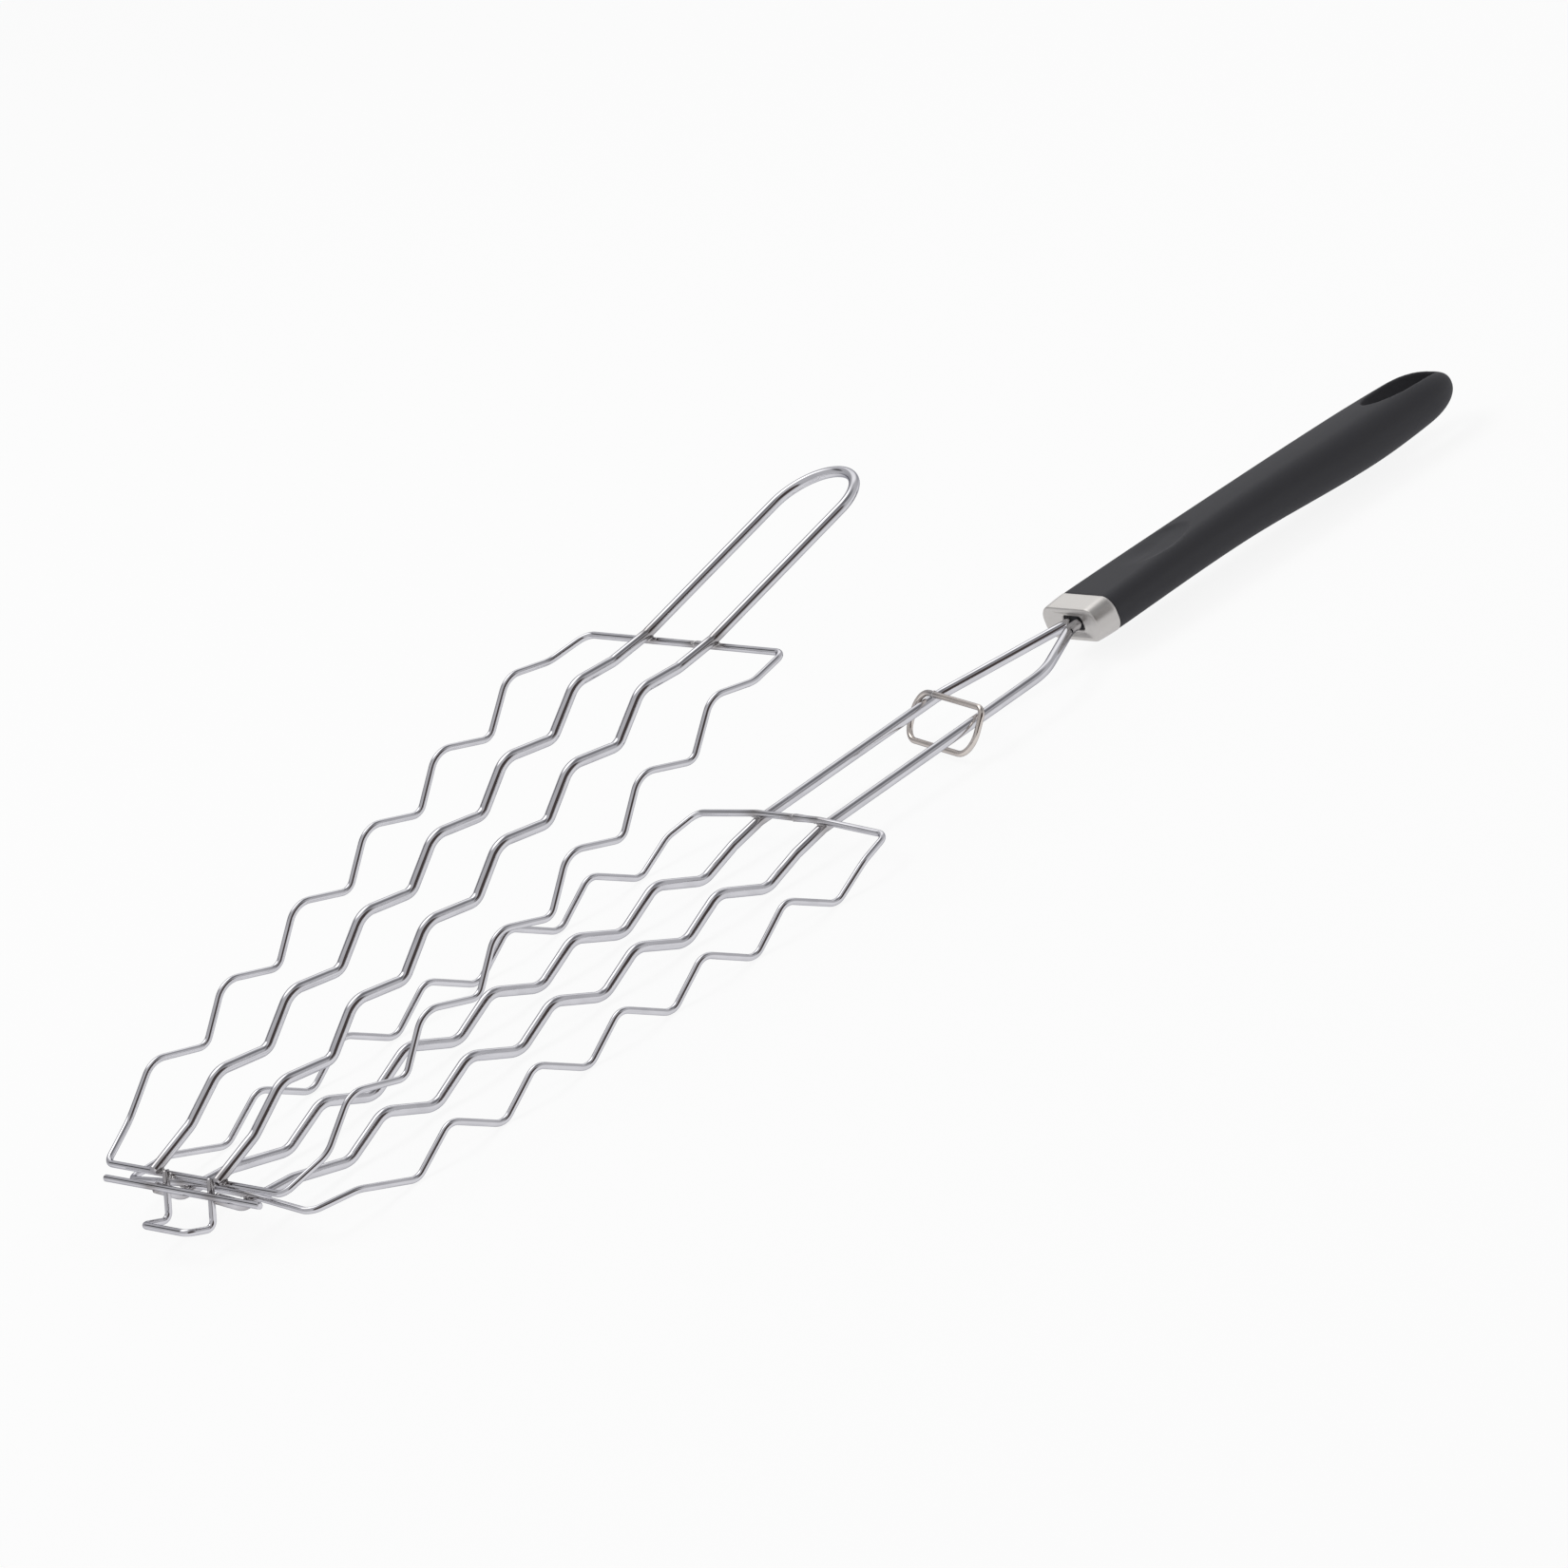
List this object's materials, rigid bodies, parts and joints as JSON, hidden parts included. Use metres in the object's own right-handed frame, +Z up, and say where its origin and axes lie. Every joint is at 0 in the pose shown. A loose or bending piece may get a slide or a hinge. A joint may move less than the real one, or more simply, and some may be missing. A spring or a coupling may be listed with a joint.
{
  "type": "sausage grilling basket",
  "caption": "Long-handled sausage grilling basket: hinged wavy wire grids, a sliding locking ring, a steel ferrule and a black hanging grip.",
  "frame": {"origin": "under the middle of the whole piece as pictured, on the surface it lies on", "axes": "+X toward the grip's tip, +Y across the grid, +Z up; millimetres in the source"},
  "size_m": [0.6406, 0.1224, 0.1164],
  "materials": {
    "rod_steel": "thick rod, drawn steel with bright plating",
    "wire_steel": "thin wire with bright plating",
    "hook_wire": "thin plated wire, a little dull from wear",
    "weld": "small resistance weld, duller than the plating",
    "ring_wire": "warm nickel plating",
    "ferrule_steel": "pressed and polished stainless steel",
    "grip_plastic": "moulded heat-resistant plastic, satin black"
  },
  "bodies": {
    "base": {"base_left_rod": "rod_steel", "base_right_rod": "rod_steel", "base_frame_wire": "wire_steel", "base_butt_weld": "weld", "base_front_left_weld": "weld", "base_front_right_weld": "weld", "base_rear_left_weld": "weld", "base_rear_right_weld": "weld", "hinge_bar": "wire_steel", "hinge_bar_left_weld": "weld", "hinge_bar_right_weld": "weld", "ferrule": "ferrule_steel", "grip": "grip_plastic"},
    "lid": {"lid_loop_rod": "rod_steel", "lid_frame_wire": "wire_steel", "lid_butt_weld": "weld", "lid_front_left_weld": "weld", "lid_front_right_weld": "weld", "lid_rear_left_weld": "weld", "lid_rear_right_weld": "weld", "hinge_hook": "hook_wire", "hook_left_weld": "weld", "hook_right_weld": "weld"},
    "ring": {"locking_ring": "ring_wire", "ring_butt_weld": "ring_wire"}
  },
  "joints": [
    {"name": "lid_hinge", "type": "hinge", "parent": "base", "child": "lid", "pos_m": [-0.30739, 0, 0.01955], "axis": [0, -1, 0], "range_deg": [-14.3, 75]},
    {"name": "ring_slide", "type": "slide", "parent": "base", "child": "ring", "axis": [0.9995, 0, 0.0332], "range_m": [-0.058, 0.056]}
  ]
}
